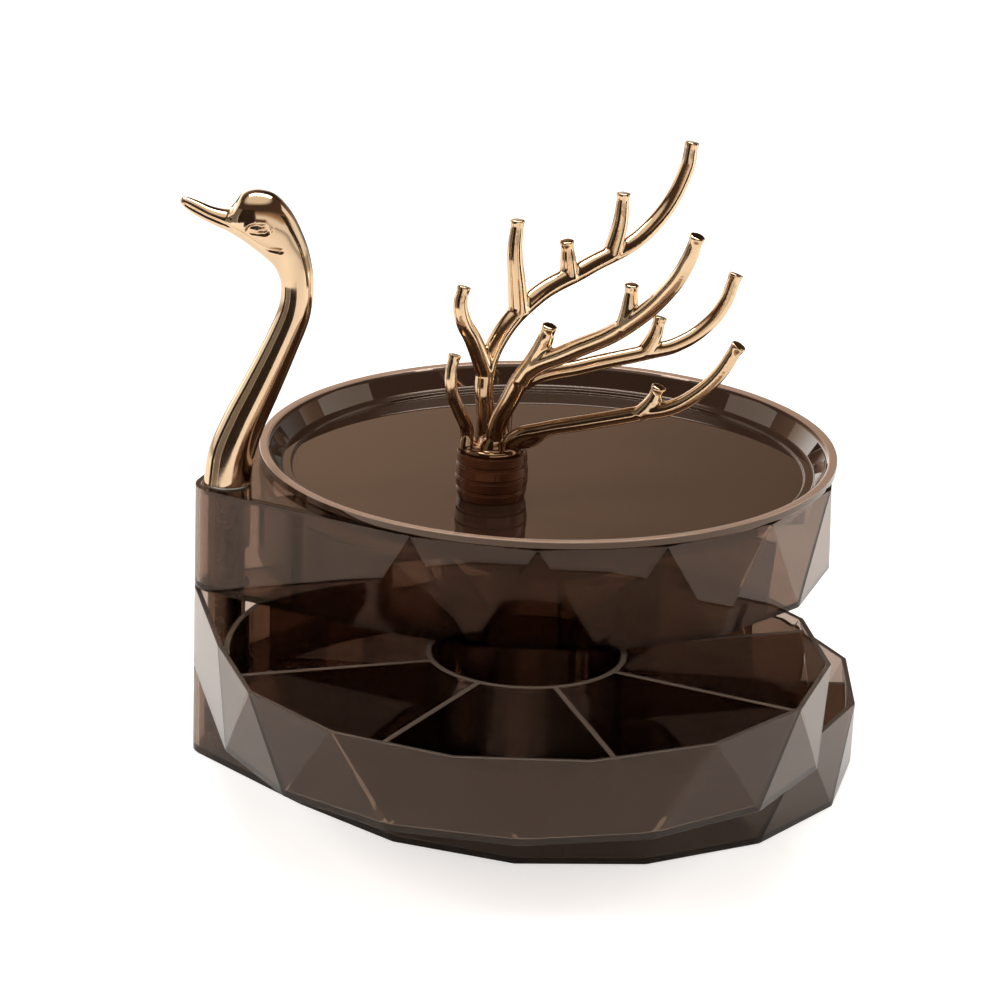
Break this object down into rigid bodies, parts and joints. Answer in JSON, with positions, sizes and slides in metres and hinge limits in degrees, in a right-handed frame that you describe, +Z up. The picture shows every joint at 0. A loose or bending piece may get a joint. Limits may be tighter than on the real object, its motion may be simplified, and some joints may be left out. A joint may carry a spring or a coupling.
{
  "type": "jewelry organizer",
  "caption": "Swivelling jewellery box: faceted trays with compartments, stacked on a corner post under a swan's neck; the dished lid lifts off and carries gold branches to hang jewellery on.",
  "frame": {"origin": "centre of the base tray's round part, on its flat underside at table height", "axes": "+Z up, +X from the post's axis towards that centre, +Y away from the viewer of the picture"},
  "size_m": [0.2329, 0.2952, 0.2025],
  "materials": {
    "smoky_tray": "clear smoky grey-brown, polished",
    "smoky_divider": "clear dark grey-brown",
    "smoky_lid": "glossy smoky grey-brown",
    "gold_plate": "bright pale gold plate",
    "gold_neck": "bright pale gold plate over a moulding",
    "dark_stand": "glossy dark brown",
    "steel": "plain zinc",
    "insert_brass": "plain",
    "washer_plastic": "matt",
    "plug_plastic": "matt dark"
  },
  "bodies": {
    "base": {"base_tray": "smoky_tray", "base_divider": "smoky_divider", "base_plug": "plug_plastic", "pivot_bolt": "steel", "bolt_washer": "steel", "pivot_sleeve": "steel", "lower_washer": "washer_plastic", "upper_washer": "washer_plastic", "neck_washer": "washer_plastic", "swan_neck": "gold_neck", "neck_insert": "insert_brass"},
    "middle": {"middle_tray": "smoky_tray", "middle_divider": "smoky_divider"},
    "top": {"top_tray": "smoky_tray", "top_divider": "smoky_divider", "tip_deck": "smoky_tray"},
    "lid": {"lid": "smoky_lid", "tree_socket": "dark_stand", "tree_screw": "steel", "tree_crown": "gold_plate", "rear_branch": "gold_plate", "front_branch": "gold_plate", "low_rear_branch": "gold_plate", "low_front_branch": "gold_plate", "side_twig": "gold_plate"}
  },
  "joints": [
    {"name": "middle_swing", "type": "hinge", "parent": "base", "child": "middle", "pos_m": [-0.116, 0, 0.045], "axis": [0, 0, 1], "continuous": true},
    {"name": "top_swing", "type": "hinge", "parent": "base", "child": "top", "pos_m": [-0.116, 0, 0.078], "axis": [0, 0, 1], "continuous": true},
    {"name": "lid_lift", "type": "slide", "parent": "top", "child": "lid", "axis": [0, 0, 1], "range_m": [0, 0.02]}
  ]
}
